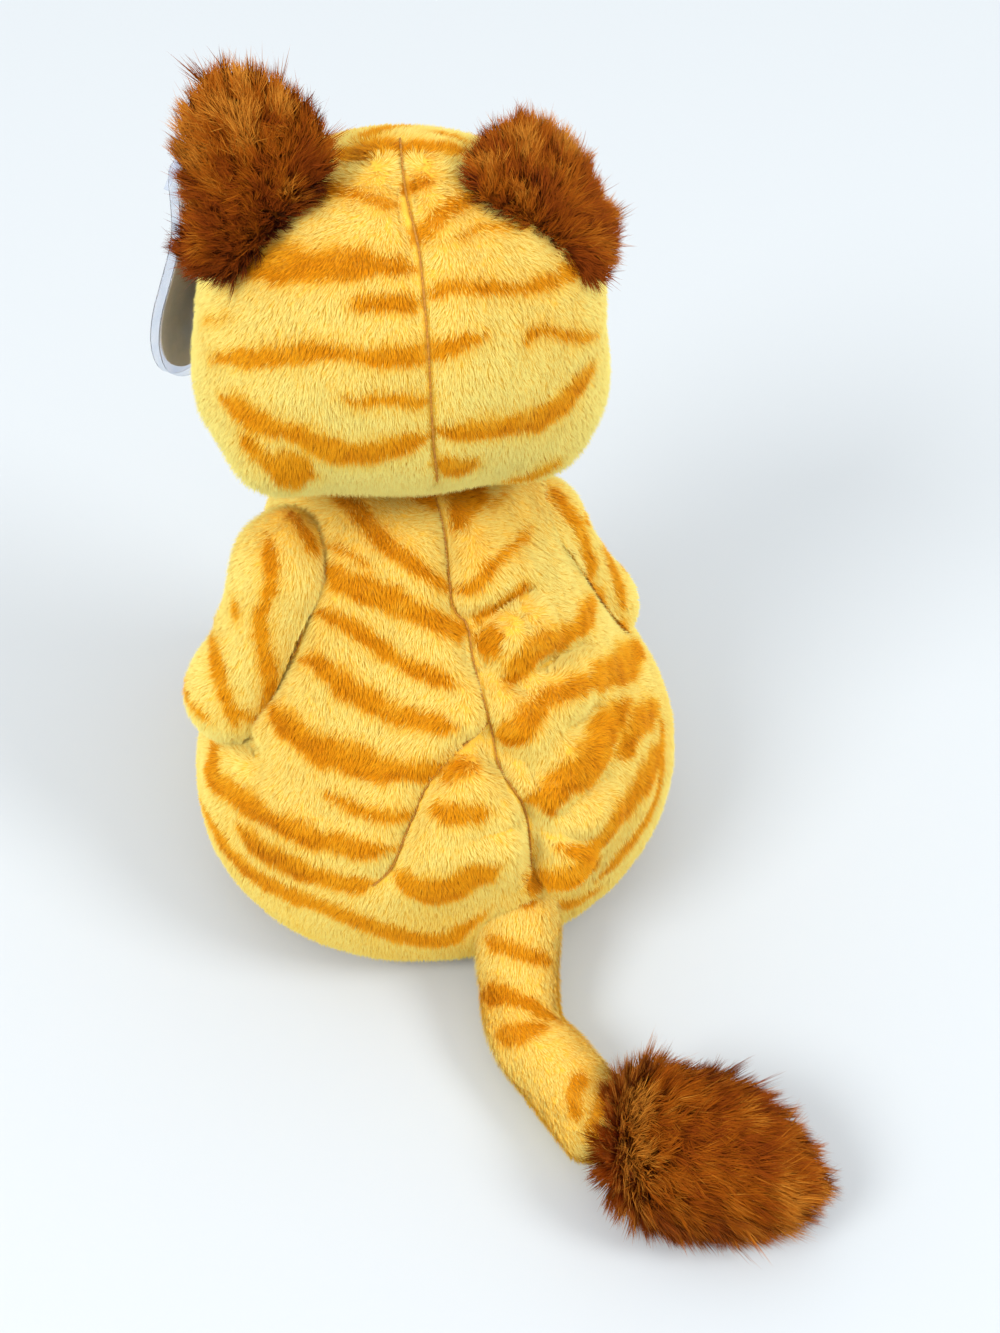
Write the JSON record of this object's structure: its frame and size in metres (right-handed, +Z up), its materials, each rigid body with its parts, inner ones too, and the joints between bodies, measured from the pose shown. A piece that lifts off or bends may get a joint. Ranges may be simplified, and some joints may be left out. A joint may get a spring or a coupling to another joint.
{
  "type": "stuffed animal",
  "caption": "Seated striped plush animal with a turning and nodding head, folding pile ears, swinging arms and legs, and a tufted tail that lies on the floor.",
  "frame": {"origin": "on the floor, in the middle of the flat patch under the seat", "axes": "+Z up, the animal faces -Y, its left side is +X, and its tail lies towards +Y"},
  "size_m": [0.11, 0.1921, 0.185],
  "materials": {
    "yellow_plush": "short cut pile, printed with brown stripes",
    "brown_pile": "long shaggy pile",
    "cream_plush": "short cut pile",
    "filling": "loose polyester wadding",
    "pellet_cloth": "thin woven bag of plastic pellets",
    "black_plastic": "polished",
    "white_plastic": "moulded",
    "clear_plastic": "clear, thin",
    "card": "blank coated card"
  },
  "bodies": {
    "torso": {"torso_cover": "yellow_plush", "torso_filling": "filling", "pellet_bag": "pellet_cloth"},
    "neck": {"neck": "yellow_plush"},
    "head": {"head_cover": "yellow_plush", "head_filling": "filling", "muzzle": "cream_plush", "nose": "black_plastic", "nose_washer": "white_plastic", "left_eye": "black_plastic", "left_eye_washer": "white_plastic", "right_eye": "black_plastic", "right_eye_washer": "white_plastic", "tag_fastener": "clear_plastic"},
    "left_ear": {"left_ear": "brown_pile", "left_ear_lining": "cream_plush"},
    "right_ear": {"right_ear": "brown_pile", "right_ear_lining": "cream_plush"},
    "left_arm": {"left_arm": "yellow_plush"},
    "right_arm": {"right_arm": "yellow_plush"},
    "left_leg": {"left_leg": "yellow_plush"},
    "right_leg": {"right_leg": "yellow_plush"},
    "tail_root": {"tail_root": "yellow_plush"},
    "tail_end": {"tail_end": "yellow_plush"},
    "tail_tuft": {"tail_tuft": "brown_pile"},
    "tag": {"tag_card": "card", "tag_protector_back": "clear_plastic", "tag_protector_front": "clear_plastic"}
  },
  "joints": [
    {"name": "neck_turn", "type": "hinge", "parent": "torso", "child": "neck", "pos_m": [0, -0.021, 0.098], "axis": [0, 0, 1], "range_deg": [-30, 30], "stiffness_Nm_per_rad": 0.05},
    {"name": "head_nod", "type": "hinge", "parent": "neck", "child": "head", "pos_m": [0, -0.021, 0.098], "axis": [0.9816, -0.1908, 0], "range_deg": [-8, 8], "stiffness_Nm_per_rad": 0.08},
    {"name": "left_ear_fold", "type": "hinge", "parent": "head", "child": "left_ear", "pos_m": [0.02466, -0.0174, 0.1615], "axis": [0.8122, 0.0655, -0.5797], "range_deg": [-15, 18], "stiffness_Nm_per_rad": 0.01},
    {"name": "right_ear_fold", "type": "hinge", "parent": "head", "child": "right_ear", "pos_m": [-0.02585, -0.00758, 0.157], "axis": [0.618, -0.3435, 0.7072], "range_deg": [-30, 0], "stiffness_Nm_per_rad": 0.01},
    {"name": "left_arm_swing", "type": "hinge", "parent": "torso", "child": "left_arm", "pos_m": [0.024, -0.015, 0.084], "axis": [1, 0, 0], "range_deg": [-70, 10]},
    {"name": "right_arm_swing", "type": "hinge", "parent": "torso", "child": "right_arm", "pos_m": [-0.024, -0.015, 0.084], "axis": [1, 0, 0], "range_deg": [-70, 10]},
    {"name": "left_leg_swing", "type": "hinge", "parent": "torso", "child": "left_leg", "pos_m": [0.031, -0.025, 0.017], "axis": [1, 0, 0], "range_deg": [-35, 0]},
    {"name": "right_leg_swing", "type": "hinge", "parent": "torso", "child": "right_leg", "pos_m": [-0.031, -0.025, 0.017], "axis": [1, 0, 0], "range_deg": [-35, 0]},
    {"name": "tail_lift", "type": "hinge", "parent": "torso", "child": "tail_root", "pos_m": [-0.0025, 0.046, 0.014], "axis": [1, 0, 0], "range_deg": [0, 40]},
    {"name": "tail_bend", "type": "hinge", "parent": "tail_root", "child": "tail_end", "pos_m": [0.00422, 0.068, 0.0081], "axis": [0, 0, 1], "range_deg": [-30, 30], "stiffness_Nm_per_rad": 0.005},
    {"name": "tuft_bend", "type": "hinge", "parent": "tail_end", "child": "tail_tuft", "pos_m": [-0.00081, 0.09655, 0.0081], "axis": [0, 0, 1], "range_deg": [-25, 25], "stiffness_Nm_per_rad": 0.005},
    {"name": "tag_swing", "type": "hinge", "parent": "head", "child": "tag", "pos_m": [0.03398, -0.04829, 0.1555], "axis": [0.6561, -0.7547, 0], "range_deg": [-25, 25]}
  ]
}
